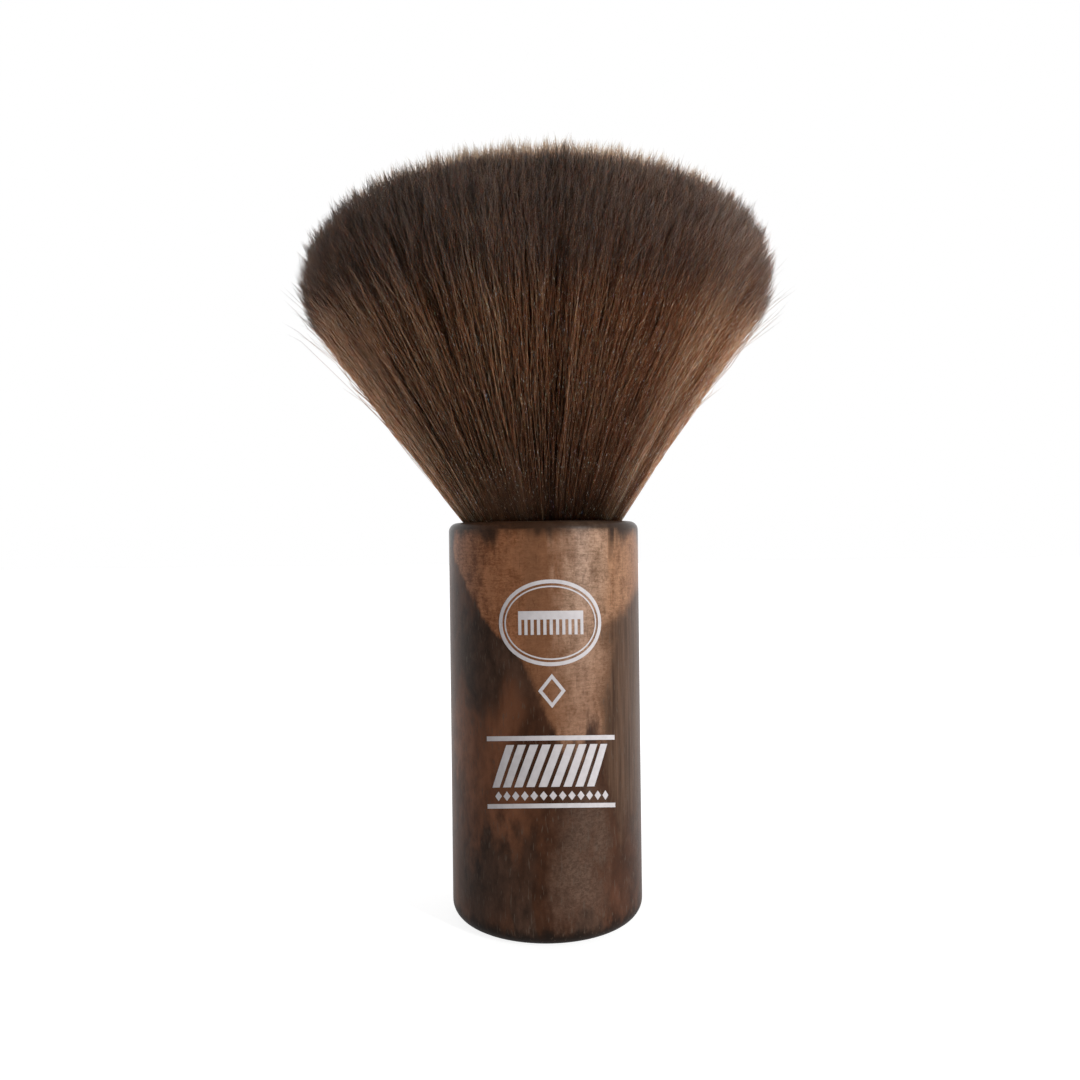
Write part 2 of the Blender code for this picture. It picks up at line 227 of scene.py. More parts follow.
# The wood's golden flame. Its left edge leans to the right going down, more so above the bend.
FLAME_LEFT = -24.0  # minus the left edge's place around the barrel, at the base
FLAME_LEAN = 0.5
FLAME_BEND = 62.0  # in height
FLAME_LEAN_ABOVE = 0.4  # added to the lean
FLAME_RIGHT = (65, 82, 14.5, 36.0)  # the right edge goes from the third to the fourth between these heights
FLAME_FOOT = (40, 47)  # in height
FLAME_BACK = (-27, -25)  # where it stops on the left, around the barrel
GOLD_OVER_AMBER = (46, 76)  # in height
HONEY_FROM = (11, 17)  # the rest are around the barrel
AMBER_RIGHT = (17, 26)
AMBER_LEFT = (-1, 7)
COPPER_FROM = (-4, -12)

# Where the wood outside the flame changes its colour, in millimetres or as the broad noise
UMBER_LEFT = (-5, -9)
UMBER_BACK = (38, 52)
RED_ABOVE = (0.56, 0.66)
BLACK_BELOW = (0.46, 0.38)
# the wood is darker at the rim and at the foot
RIM_DARK_BAND = (84.5, 88.6)
RIM_DARK_EDGE = (87.6, 88.6)
FOOT_DARK_BAND = (5.0, 1.8)
ENDS_DARKENING = 0.85
PORES_ABOVE = (0.62, 0.71)
PORE_STRENGTH = (0.6, 0.25)  # outside the flame and in it

# The wood's patches: centre and half size about (around, height) in millimetres, soft edge, strength
# darker under the rim on the right
RIM_DARK_PATCH = ((21, 89), (10, 5), 0.4, 0.6)
FRONT_PATCH = ((-2, 30), (16, 22), 0.4, 1.0)
WALNUT_PATCH = ((21, 50), (8, 26), 0.3, 1.0)
RUST_PATCH = ((-18, 44), (9, 11), 0.5, 1.0)
RUST_SPOT = ((-11, 27), (7, 6), 0.9, 0.6)
RED_PATCH = ((12, 10), (9, 7), 0.6, 0.7)
# painted highlight low on the front
SHEEN_PATCH = ((8, 17), (5, 13), 0.8, 0.75)
BLACK_FOOT = ((-14, 13), (8, 10), 0.6, 1.0)
BLACK_SIDE = ((-14, 63), (9, 11), 0.35, 1.0)

# The light
WORLD_FRONT_TO_BACK = (0.10, 1.50)
WORLD_TURN = (-0.45, 0.30)  # where it turns from the one to the other: -1 is in front and 1 is behind
WORLD_ZENITH = 0.25  # as a share of the horizon's light
WORLD_RISE = (0.2, 0.8)  # where it fades towards that: 0 is the horizon and 1 is overhead
FLOOR_COLOURS = ((0.29, 0.29, 0.29), (0.31, 0.31, 0.31))
FLOOR_BEHIND = (0.80, 0.80, 0.80, 1.0)  # its colour behind the brush
FLOOR_TURN = (-0.05, 0.20)  # where it turns to that, from the front to the back
FLOOR_GLOW = 0.55  # of the floor behind the brush, as light
FLOOR_GLOW_TURN = (-0.08, 0.06)
FLOOR_SEEN = 0.86  # the floor's glow to the camera


def shoulder_angle():
    """The crown angle where a line from the rim touches the crown without crossing it."""
    across = FAN_RADIUS / CROWN_RADIUS
    down = -(CROWN_CENTRE - RIM) / CROWN_RISE
    return math.atan2(down, across) + math.acos(1 / math.hypot(across, down))


SHOULDER = shoulder_angle()
SHOULDER_RADIUS = CROWN_RADIUS * math.cos(SHOULDER)
SHOULDER_HEIGHT = CROWN_CENTRE + CROWN_RISE * math.sin(SHOULDER)
SIDE_SLOPE = (SHOULDER_RADIUS - FAN_RADIUS) / (SHOULDER_HEIGHT - RIM)
APEX = RIM - FAN_RADIUS / SIDE_SLOPE


# ---------------------------------------------------------------- nodes

class Nodes:
    """A node tree, with short calls for the nodes that the materials and the world share."""

    def __init__(self, tree):
        self.tree = tree

    def feed(self, socket, value):
        if isinstance(value, bpy.types.NodeSocket):
            self.tree.links.new(value, socket)
        else:
            socket.default_value = value

    def add(self, kind, inputs=(), **settings):
        node = self.tree.nodes.new(kind)
        for name, value in settings.items():
            setattr(node, name, value)
        for key, value in dict(inputs).items():
            self.feed(node.inputs[key], value)
        return node

    def math(self, operation, *values):
        return self.add("ShaderNodeMath", enumerate(values), operation=operation).outputs[0]

    def pick(self, factor, a, b):
        """The number a where the factor is 0 and b where it is 1."""
        return self.add("ShaderNodeMix", {0: factor, 2: a, 3: b}).outputs[0]

    def mix(self, factor, a, b, blend="MIX"):
        """The colour a where the factor is 0 and b where it is 1."""
        node = self.add("ShaderNodeMix", {0: factor, 6: a, 7: b}, data_type="RGBA", blend_type=blend)
        return node.outputs[2]

    def slope(self, value, low, high, to_low=0.0, to_high=1.0, kind="LINEAR"):
        """An even rise of the value's range low..high onto to_low..to_high."""
        inputs = {"Value": value, "From Min": low, "From Max": high, "To Min": to_low, "To Max": to_high}
        return self.add("ShaderNodeMapRange", inputs, interpolation_type=kind).outputs[0]

    def steps(self, value, low, high, to_low=0.0, to_high=1.0):
        """A smooth rise of the value's range low..high onto to_low..to_high."""
        return self.slope(value, low, high, to_low, to_high, "SMOOTHSTEP")

    def noise(self, vector, scale=1.0, detail=2.0, roughness=0.5, distortion=0.0):
        inputs = {
            "Vector": vector,
            "Scale": scale,
            "Detail": detail,
            "Roughness": roughness,
            "Distortion": distortion,
        }
        return self.add("ShaderNodeTexNoise", inputs).outputs["Fac"]

    def ramp(self, factor, stops):
        node = self.add("ShaderNodeValToRGB", {0: factor})
        elements = node.color_ramp.elements
        while len(elements) < len(stops):
            elements.new(0.5)
        for element, (position, colour) in zip(elements, stops):
            element.position = position
            element.color = (*colour, 1.0)
        return node.outputs[0]

    def shade(self, factor, colours, low=0.3, high=0.7):
        """From the darker to the lighter of two colours over the factor's range low..high."""
        return self.ramp(factor, ((low, colours[0]), (high, colours[1])))

    def parts(self, vector):
        """The three parts of a vector."""
        return self.add("ShaderNodeSeparateXYZ", {0: vector}).outputs[:3]

    def vector(self, x, y, z):
        return self.add("ShaderNodeCombineXYZ", {0: x, 1: y, 2: z}).outputs[0]

    def scaled(self, vector, factors):
        return self.add("ShaderNodeVectorMath", {0: vector, 1: factors}, operation="MULTIPLY").outputs[0]


class Material(Nodes):
    """A new material's node tree round its one shader."""

    def __init__(self, name):
        self.material = bpy.data.materials.new(name)
        self.material.use_nodes = True
        super().__init__(self.material.node_tree)
        self.shader = self.tree.nodes["Principled BSDF"]

    def place(self):
        """The point on the piece in the row frame."""
        return self.add("ShaderNodeTexCoord").outputs["Object"]

    def bump(self, height, strength, distance):
        inputs = {"Height": height, "Strength": strength, "Distance": distance}
        self.feed(self.shader.inputs["Normal"], self.add("ShaderNodeBump", inputs).outputs[0])

    def finish(self, colour, roughness, **constants):
        self.feed(self.shader.inputs["Base Color"], colour)
        self.feed(self.shader.inputs["Roughness"], roughness)
        for name, value in constants.items():
            self.shader.inputs[name.replace("_", " ")].default_value = value
        return self.material


# ---------------------------------------------------------------- materials

def fibre_material():
    """Colour by each fibre's tone (U of its map) and by how near the crown is (V of its map)."""
    n = Material("bristle_fibre")
    uv = n.add("ShaderNodeUVMap", uv_map="OFBake").outputs[0]
    own_tone, along, _ = n.parts(uv)
    # Flecks: partly the fibres' own unevenness, partly painted shade and highlight where fibres weave over
    # one another
    flecks = n.noise(n.scaled(uv, (80.0, 48.0, 1.0)))
    tone = n.math("ADD", own_tone, n.steps(flecks, 0.25, 0.75, -FLECK_TONE_AND_LIGHT, FLECK_TONE_AND_LIGHT))
    body = n.ramp(tone, FIBRE_COLOURS)
    # Painted shade towards the roots, which lighter fibres keep less of
    lit = n.math("MAXIMUM", n.steps(along, *ROOT_BAND), n.steps(own_tone, *TONES_LIT_TO_ROOTS))
    colour = n.mix(lit, n.mix(1.0, body, ROOT_PAINTED_SHADE, "MULTIPLY"), body)

    own = n.noise(n.scaled(uv, (400.0, 0.0, 0.0)), detail=0.0)
    feathered = n.math("ADD", along, n.steps(own, 0.3, 0.7, -BAND_FEATHER, BAND_FEATHER))
    # The upper and tip bands: greyer own colour, darkened as painted shade between the crown's tips
    colour = n.mix(n.steps(feathered, *UPPER_BAND), colour, n.ramp(tone, UPPER_COLOURS))
    colour = n.mix(n.steps(feathered, *TIP_BAND), colour, n.ramp(tone, TIP_COLOURS))
    # Painted glow at the fibres' ends, where light shines through them
    colour = n.mix(n.steps(along, *END_GLOW_BAND), colour, END_GLOW_COLOUR)
    glints = n.noise(n.scaled(uv, (70.0, 110.0, 1.0)), detail=0.0)
    glints = n.math("MULTIPLY", n.steps(glints, *GLINTS), n.steps(along, *GLINTS_END))
    colour = n.mix(glints, colour, GLINT_COLOUR)

    opaque = n.math("MULTIPLY", n.steps(along, *OPAQUE_FROM), n.steps(along, *OPAQUE_TO))
    depth = n.math("MULTIPLY_ADD", opaque, OPAQUE_DEPTH - LIGHT_DEPTH, LIGHT_DEPTH)
    n.feed(n.shader.inputs["Subsurface Scale"], depth)
    return n.finish(
        colour, 0.5, Specular_IOR_Level=0.15, Specular_Tint=(1.0, 0.75, 0.55, 1.0),
        Subsurface_Weight=0.9, Subsurface_Radius=(1.0, 0.55, 0.35),
    )


def heart_material():
    """The dense inside of the head: near black as painted shade deep among the fibres, with streaks that run
    up with the fibres.
    """
    n = Material("bristle_heart")
    x, y, _ = n.parts(n.place())
    flat = n.add("ShaderNodeVectorMath", {0: n.vector(x, y, 0.0)}, operation="NORMALIZE").outputs[0]
    streaks = n.noise(n.scaled(flat, (60.0, 60.0, 0.0)), detail=6.0, roughness=0.7)
    n.bump(streaks, 0.8, 0.3 * MM)
    return n.finish(n.shade(streaks, ((0.006, 0.004, 0.003), (0.040, 0.022, 0.015))), 0.8)


class Wood(Material):
    """Dark stained wood. Places on it are in millimetres: around from the front, and height from the base."""

    def __init__(self):
        super().__init__("stained_wood")
        x, y, z = self.parts(self.place())
        angle = self.math("ARCTAN2", x, self.math("MULTIPLY", y, -1.0))
        self.around = self.math("MULTIPLY", angle, HANDLE_RADIUS / MM)
        self.height = self.math("DIVIDE", z, MM)
        self.broad = self.texture(0.10, 0.035, 3.0, 0.55, 0.8)
        self.mottle = self.texture(0.45, 0.22, 5.0, 0.6)
        self.curl = self.texture(0.30, 2.0, 4.0, 0.65, 0.6)
        self.grain = self.texture(1.3, 1.9, 3.0, 0.65, 0.8)
        self.weave = self.texture(2.6, 3.4, 3.0, 0.6, 1.5)
        self.wander = self.math("ADD", self.swing(self.broad, 5.0), self.swing(self.mottle, 2.0))
        self.beside = self.math("ADD", self.around, self.math("MULTIPLY", self.wander, 0.5))
        self.along = self.math("ADD", self.height, self.wander)

    def texture(self, across, up, detail, roughness=0.55, distortion=0.0):
        """Noise with these many features per millimetre across the grain and along it."""
        vector = self.scaled(self.place(), (across / MM, across / MM, up / MM))
        return self.noise(vector, 1.0, detail, roughness, distortion)

    def swing(self, texture, reach):
        """The texture as a number from -reach to reach."""
        return self.steps(texture, 0.3, 0.7, -reach, reach)

    def zone(self, centre, half, soft, strength):
        """A soft-edged oval of the figure."""
        across = self.math("DIVIDE", self.math("SUBTRACT", self.beside, centre[0]), half[0])
        up = self.math("DIVIDE", self.math("SUBTRACT", self.along, centre[1]), half[1])
        square = self.math("ADD", self.math("POWER", across, 2.0), self.math("POWER", up, 2.0))
        return self.math("MULTIPLY", self.steps(self.math("SQRT", square), 1 + soft, 1 - soft), strength)

    def gold(self):
        """The flame's colour: copper on the left, gold with a painted highlight in the middle and honey to
        amber on the right.
        """
        shimmer = self.math("MULTIPLY_ADD", self.curl, 0.25, self.math("MULTIPLY", self.mottle, 0.40))
        shimmer = self.math("MULTIPLY_ADD", self.grain, 0.35, shimmer)
        amber = self.shade(shimmer, AMBER)
        # gold with a painted highlight down the front
        colour = self.shade(shimmer, GOLD_AND_HIGHLIGHT, 0.40, 0.60)
        colour = self.mix(self.steps(self.height, *GOLD_OVER_AMBER, 0.6, 0.0), colour, amber)
        honey = self.shade(shimmer, HONEY, 0.40, 0.60)
        colour = self.mix(self.steps(self.beside, *HONEY_FROM), colour, honey)
        colour = self.mix(self.steps(self.beside, *AMBER_RIGHT, 0.0, 0.7), colour, amber)
        colour = self.mix(self.zone(*RIM_DARK_PATCH), colour, RIM_DARK_TINT)
        colour = self.mix(self.steps(self.beside, *AMBER_LEFT), amber, colour)
        copper = self.shade(shimmer, COPPER, 0.42, 0.58)
        return self.mix(self.steps(self.beside, *COPPER_FROM), colour, copper)

    def ground(self, black):
        """The dark wood round the flame, in its patches. Both sides meet in one colour at the back."""
        red = self.shade(self.mottle, RED)
        rust = self.shade(self.mottle, RUST)
        walnut = self.shade(self.texture(1.6, 0.07, 4.0), WALNUT)
        # painted highlight low on the front
        sheen = self.shade(self.grain, SHEEN, 0.38, 0.62)
        back = self.steps(self.math("ABSOLUTE", self.around), *UMBER_BACK)
        left_or_back = self.math("MAXIMUM", self.steps(self.beside, *UMBER_LEFT), back)
        plain = self.mix(left_or_back, self.shade(self.mottle, ESPRESSO), self.shade(self.mottle, UMBER))
        colour = self.mix(self.steps(self.broad, *RED_ABOVE), plain, red)
        colour = self.mix(self.steps(self.broad, *BLACK_BELOW), colour, black)
        patches = (
            (FRONT_PATCH, plain), (WALNUT_PATCH, walnut), (RUST_PATCH, rust), (RUST_SPOT, rust),
            (RED_PATCH, red), (SHEEN_PATCH, sheen), (BLACK_FOOT, black),
        )
        for patch, tint in patches:
            colour = self.mix(self.zone(*patch), colour, tint)
        return colour

    def flame(self):
        """1 inside the golden flame, which is broad under the rim and narrows downwards on the front."""
        bend = self.math("MAXIMUM", self.math("SUBTRACT", self.height, FLAME_BEND), 0.0)
        left = self.math("MULTIPLY_ADD", self.height, FLAME_LEAN, FLAME_LEFT)
        left = self.math("MULTIPLY_ADD", bend, FLAME_LEAN_ABOVE, left)
        left = self.math("ADD", left, self.math("MULTIPLY_ADD", self.wander, 0.2, self.around))
        right = self.math("SUBTRACT", self.steps(self.height, *FLAME_RIGHT), self.beside)
        inside = self.math("MULTIPLY", self.steps(left, -0.5, 1.3), self.steps(right, -3.0, 5.0))
        return self.math("MULTIPLY", inside, self.steps(self.along, *FLAME_FOOT))

    def darker_ends(self):
        """1 at the dark rim and at the dark foot."""
        top = self.math("ADD", self.height, self.swing(self.broad, 2.2))
        foot = self.math("ADD", self.height, self.swing(self.mottle, 0.8))
        ends = self.math("MAXIMUM", self.steps(top, *RIM_DARK_BAND), self.steps(foot, *FOOT_DARK_BAND))
        return self.math("MAXIMUM", ends, self.steps(self.height, *RIM_DARK_EDGE))


def wood_material():
    """Stained wood: a golden flame between near-black patches, darker ends, pores and fine cross grain, with
    a painted highlight down the front.
    """
    n = Wood()
    flame = n.flame()
    front = n.math("MULTIPLY", n.steps(n.around, *FLAME_BACK), flame)
    black = n.shade(n.mottle, BLACK)
    black_side = n.math("MULTIPLY", n.zone(*BLACK_SIDE), n.math("SUBTRACT", 1.0, front))
    colour = n.mix(black_side, n.ground(black), black)
    colour = n.mix(front, colour, n.gold())
    colour = n.mix(n.math("MULTIPLY", n.darker_ends(), ENDS_DARKENING), colour, ENDS_DARK_COLOUR)

    pores = n.steps(n.texture(2.6, 0.42, 1.0, 0.5), *PORES_ABOVE)
    pores = n.math("MULTIPLY", pores, n.steps(flame, 0.3, 0.7, *PORE_STRENGTH))
    colour = n.mix(pores, colour, n.mix(n.steps(flame, 0.3, 0.7), PORE_OUTSIDE, PORE_IN_FLAME))
    colour = n.mix(n.steps(n.weave, 0.35, 0.65, 0.0, 0.12), colour, CROSS_GRAIN)
    n.bump(n.math("ADD", n.weave, n.curl), 0.10, 0.06 * MM)
    return n.finish(colour, n.steps(n.weave, 0.3, 0.7, 0.32, 0.42), Specular_IOR_Level=0.13)


def ink_material():
    """Pad-printed white ink, a little uneven."""
    n = Material("white_ink")
    cloud = n.noise(n.scaled(n.place(), (900.0, 900.0, 900.0)), detail=3.0)
    return n.finish(n.shade(cloud, ((0.60, 0.56, 0.57), (0.68, 0.64, 0.65))), 0.55)


def cup_material():
    """Spun aluminium, with fine rings round its axis."""
    n = Material("spun_aluminium")
    rings = n.noise(n.scaled(n.place(), (40.0, 40.0, 6000.0)))
    colour = n.shade(rings, ((0.66, 0.66, 0.68), (0.80, 0.80, 0.82)))
    return n.finish(colour, n.steps(rings, 0.3, 0.7, 0.28, 0.42), Metallic=1.0)


def cloudy_material(name, scale, detail, colours, roughness):
    """A material with soft clouds between two colours, for the pieces inside the bore."""
    n = Material(name)
    return n.finish(n.shade(n.noise(n.place(), scale, detail), colours), roughness)


def floor_material():
    """A pale floor, white to the camera. As light, it is a dim grey in front and glows at the back."""
    n = Material("pale_floor")
    point = n.place()
    _, y, _ = n.parts(point)
    colour = n.shade(n.noise(point, 3.0), FLOOR_COLOURS)
    colour = n.mix(n.steps(y, *FLOOR_TURN), colour, FLOOR_BEHIND)
    seen = n.add("ShaderNodeLightPath").outputs["Is Camera Ray"]
    glow = n.pick(seen, n.steps(y, *FLOOR_GLOW_TURN, 0.0, FLOOR_GLOW), FLOOR_SEEN)
    n.feed(n.shader.inputs["Emission Strength"], glow)
    return n.finish(colour, 0.9, Emission_Color=(1.0, 1.0, 1.0, 1.0))


# ---------------------------------------------------------------- pieces

def add_piece(name, mesh, material, slot, *nodes):
    """A piece of the object: it rides on the one body and stands for these CAD nodes."""
    piece = bpy.data.objects.new(name, mesh)
    mesh.materials.append(material)
    bpy.context.scene.collection.objects.link(piece)
    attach(piece, "root")
    if nodes:
        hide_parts(*nodes)


def mesh_from(shape, name):
    """The bmesh as a mesh. It frees the bmesh."""
    mesh = bpy.data.meshes.new(name)
    shape.to_mesh(mesh)
    shape.free()
    return mesh


def arc(centre, radius, start, end, count):
    angles = np.radians(np.linspace(start, end, count))
    return [(centre[0] + radius * math.cos(a), centre[1] + radius * math.sin(a)) for a in angles]


def turned_mesh(name, profile, steps=180, sharp=math.radians(35)):
    """A closed solid of revolution whose profile starts and ends on the axis."""
    shape = bmesh.new()
    points = [shape.verts.new((x, 0.0, z)) for x, z in profile]
    edges = [shape.edges.new(pair) for pair in zip(points, points[1:])]
    bmesh.ops.spin(
        shape, geom=points + edges, angle=2 * math.pi, steps=steps,
        axis=(0, 0, 1), cent=(0, 0, 0), use_merge=True,
    )
    bmesh.ops.remove_doubles(shape, verts=shape.verts, dist=0.002 * MM)
    bmesh.ops.recalc_face_normals(shape, faces=shape.faces)
    mesh = mesh_from(shape, name)
    mesh.shade_smooth()
    mesh.set_sharp_from_angle(angle=sharp)
    return mesh


def make_handle(material):
    """The turned barrel, with its roundings and bore at fine resolution."""
    bore = [
        (0.0, BORE_FLOOR),
        (BORE_RADIUS, BORE_FLOOR),
        (BORE_RADIUS, RIM - BORE_CHAMFER),
        (BORE_RADIUS + BORE_CHAMFER, RIM),
    ]
    rim = arc((HANDLE_RADIUS - RIM_FILLET, RIM - RIM_FILLET), RIM_FILLET, 90, 0, 12)
    side = [(HANDLE_RADIUS, z) for z in np.linspace(RIM - RIM_FILLET, BASE_FILLET, 24)[1:-1]]
    base = arc((HANDLE_RADIUS - BASE_FILLET, BASE_FILLET), BASE_FILLET, 0, -90, 14)
    mesh = turned_mesh("wood_barrel", bore + rim + side + base + [(0.0, 0.0)])
    add_piece("wood_barrel", mesh, material, "wood", "handle")


# ---------------------------------------------------------------- fibres

Hank = namedtuple("Hank", "node share_low share_high angle_low angle_high count shade")


def grow(value, low, high):
    """0 up to low, 1 from high on, and an even rise between them."""
    return np.clip((value - low) / (high - low), 0, 1)


def crown_reach(polar):
    """Distances from the fan's apex to the crown, along rays at these angles from the axis."""
    across, up = np.sin(polar) / CROWN_RADIUS, np.cos(polar) / CROWN_RISE
    offset = (CROWN_CENTRE - APEX) / CROWN_RISE
    square = across**2 + up**2
    root = np.sqrt(np.maximum((up * offset) ** 2 - square * (offset**2 - 1), 0.0))
    return (up * offset + root) / square


class Clumps:
    """Small groups that the fibres gather in, as jittered cells over the fan seen end on."""

    REACH = 1.2  # of the cells from the axis, a little past the fan's edge

    def __init__(self, size, random):
        self.size = size
        self.count = int(2 * self.REACH / size) + 3
        grid = np.stack(np.meshgrid(*[np.arange(self.count)] * 2, indexing="ij"), -1)
        self.centres = (grid + random.uniform(0.1, 0.9, grid.shape)) * size - self.REACH - size
        self.traits = random.normal(0.0, 1.0, (self.count, self.count, TRAIT_COUNT))

    def nearest(self, points):
        """For each point, its group's centre and the random traits of the group."""
        home = np.floor((points + self.REACH + self.size) / self.size).astype(int)
        best = np.full(len(points), np.inf)
        cell = np.zeros_like(home)
        for i in (-1, 0, 1):
            for j in (-1, 0, 1):
                near = np.clip(home + (i, j), 0, self.count - 1)
                gap = ((self.centres[near[:, 0], near[:, 1]] - points) ** 2).sum(1)
                closer = gap < best
                best[closer] = gap[closer]
                cell[closer] = near[closer]
        return self.centres[cell[:, 0], cell[:, 1]], self.traits[cell[:, 0], cell[:, 1]]


def strand_corners(lines, radii):
    """Each strand's corners, as rings of three round its line and then its tip."""
    along = lines[:, -1] - lines[:, 0]
    along /= np.linalg.norm(along, axis=1, keepdims=True)
    aside = np.cross(along, ASIDE)
    aside /= np.linalg.norm(aside, axis=1, keepdims=True)
    other = np.cross(along, aside)
    turns = 2 * math.pi * np.arange(3) / 3
    spread = aside[:, None] * np.cos(turns)[None, :, None] + other[:, None] * np.sin(turns)[None, :, None]
    sides = lines[:, :-1, None] + spread[:, None] * radii[:, :, None, None]
    return np.concatenate([sides.reshape(len(lines), -1, 3), lines[:, -1:]], axis=1)


def strand_faces(rings):
    """The faces of one strand, by its corners: the sides, the point and the cut end."""
    quads = []
    for ring in range(rings - 1):
        for side in range(3):
            a, b = 3 * ring + side, 3 * ring + (side + 1) % 3
            quads.append((a, b, b + 3, a + 3))
    last = 3 * (rings - 1)
    return quads + [(last + side, last + (side + 1) % 3, 3 * rings) for side in range(3)] + [(0, 2, 1)]


def strand_map(lines, tones, below):
    """Each corner's place on the colour map, from its fibre's tone and its distance under the crown."""
    count, rings = lines.shape[0], lines.shape[1] - 1
    steps = np.linalg.norm(np.diff(lines, axis=1), axis=2)
    from_tip = np.concatenate([np.cumsum(steps[:, ::-1], axis=1)[:, ::-1], np.zeros((count, 1))], axis=1)
    v = 1 - (from_tip + below[:, None]) / TONE_LENGTH
    v = np.concatenate([np.repeat(v[:, :-1], 3, axis=1), v[:, -1:]], axis=1)
    u = np.tile(np.append(np.tile([0.0, 0.5, 1.0], rings), 0.5), (count, 1)) * TONE_WIDTH
    u = u + tones[:, None] * (1 - TONE_WIDTH)
    return np.stack([u, v], axis=-1).reshape(-1, 2)


def strands_mesh(name, lines, radii, tones, below):
    """One mesh of closed three-sided strands. lines holds each strand's points, the last one its tip, and
    below holds how far under the crown the tip's colour is taken from."""
    corners = strand_corners(lines, radii)
    count, per_strand = corners.shape[:2]
    faces = strand_faces(lines.shape[1] - 1)
    pattern = np.array([corner for face in faces for corner in face])
    loops = (pattern[None] + per_strand * np.arange(count)[:, None]).ravel()
    totals = np.tile([len(face) for face in faces], count)
    mesh = bpy.data.meshes.new(name)
    mesh.vertices.add(count * per_strand)
    mesh.vertices.foreach_set("co", corners.reshape(-1).astype(np.float32))
    mesh.loops.add(len(loops))
    mesh.loops.foreach_set("vertex_index", loops.astype(np.int32))
    mesh.polygons.add(len(totals))
    mesh.polygons.foreach_set("loop_start", (np.cumsum(totals) - totals).astype(np.int32))
    mesh.polygons.foreach_set("loop_total", totals.astype(np.int32))
    uv = strand_map(lines, tones, below)[loops]
    mesh.uv_layers.new(name="OFBake").data.foreach_set("uv", uv.reshape(-1).astype(np.float32))
    mesh.update(calc_edges=True)
    mesh.shade_smooth()
    return mesh


def bowed(height):
    """How far to the side the head bows at this height."""
    up = np.clip((height - RIM) / (CROWN_TOP - RIM), 0, 1)
    return HEAD_BOW * up * (1 - up)


def fan_points(discs, distances):
    """Points in the head from their places in the fan seen end on (radius 1 at its edge) and distances."""
    across = discs * SIDE_SLOPE
    height = distances / np.sqrt((across**2).sum(-1) + 1)
    points = np.concatenate([across * height[..., None], (APEX + height)[..., None]], axis=-1)
    points[..., 0] += bowed(points[..., 2])
    return points


def strand_lines(disc, tips, starts, rings, clump, lock, splay, random):
    """The points of each strand: it runs out from the fan's apex and gathers towards its clump's centre."""
    steps = np.array([*rings, 1.0])
    distance = starts[:, None] + (tips - starts)[:, None] * steps
    near_tip = np.clip(1 - (tips[:, None] - distance) / CLUMP_LENGTH, 0, 1) ** CLUMP_CURVE
    centre, traits = clump
    pull = np.clip(CLUMP_PULL + CLUMP_PULL_SCATTER * traits[:, PULL_TRAIT], *CLUMP_PULL_LIMITS)
    path = disc[:, None] + (centre - disc)[:, None] * (pull[:, None] * near_tip)[..., None]
    path = path + (lock[0] - disc)[:, None] * LOCK_PULL * (distance / tips[:, None])[..., None]
    sway = random.normal(0, SWAY, (len(disc), len(steps), 2))
    path = path + sway * (np.minimum(steps * 2, 1) * (1 - (1 - SWAY_AT_TIP) * near_tip))[..., None]
    outward = disc / np.maximum(np.linalg.norm(disc, axis=1, keepdims=True), SPLAY_AXIS)
    path = path + (outward * splay[:, None])[:, None] * (steps**SPLAY_CURVE)[None, :, None]
    return fan_points(path, distance)


def tip_distances(share, disc, clump, clump_size, random):
    """How far from the fan's apex each fibre ends, before any is shortened."""
    off_centre = np.linalg.norm(clump[0] - disc, axis=1) / clump_size
    tips = crown_reach(np.arctan(share * SIDE_SLOPE)) + TIP_REACH
    tips += SWELL * np.exp(-(((share - SWELL_SHARE) / SWELL_WIDTH) ** 2))
    tips += CROWN_TILT * CROWN_RADIUS * disc[:, 0]
    scatter = random.normal(0, TIP_SCATTER, len(share))
    return tips + clump[1][:, RISE_TRAIT] * CLUMP_RISE - off_centre * CLUMP_POINT + scatter


def shortened(tips, share, random):
    """By how much each fibre is shortened. It happens to some of the outermost ones."""
    chosen = (random.uniform(0, 1, len(share)) < SHORTENED_FIBRES) & (share > LONG_SHARE)
    return np.where(chosen, tips * random.uniform(0.0, SHORTENED_BY, len(share)), 0.0)


def splay_of(share, clump, random):
    """How far outwards each tip turns, and which fibres are strays, which stand off by themselves."""
    count = len(share)
    stray = (random.uniform(0, 1, count) < STRAY_FIBRES) & (share > STRAY_FROM)
    own = np.abs(random.normal(0, 1, count)) * FIBRE_SPLAY
    splay = SPLAY + np.abs(clump[1][:, SPLAY_TRAIT]) * CLUMP_SPLAY + own
    splay *= grow(share, SPLAY_FROM, 1.0)
    splay += np.where(stray, random.uniform(*STRAY_SPLAY, count), 0)
    return splay, stray


def tones_of(hank, share, angle, clump, lock, random):
    """Each fibre's tone: lighter on the left and right as painted light, and darker beside a parting as
    painted shade.
    """
    tone = TONE + hank.shade + LOCK_TONE * lock[1][:, TONE_TRAIT] + CLUMP_TONE * clump[1][:, TONE_TRAIT]
    tone += FIBRE_TONE * random.normal(0, 1, len(share))
    # painted light on the left and right of the head
    tone += np.interp(np.cos(angle), SIDE_PLACES, SIDE_PAINTED_LIGHT)
    # painted shade beside the partings
    if hank.share_low > 0:
        parting = np.minimum(angle - hank.angle_low, hank.angle_high - angle) * share
        tone -= PARTING_PAINTED_SHADE * np.exp(-((parting / PARTING_WIDTH) ** 2))
    return np.clip(tone, 0, 1)


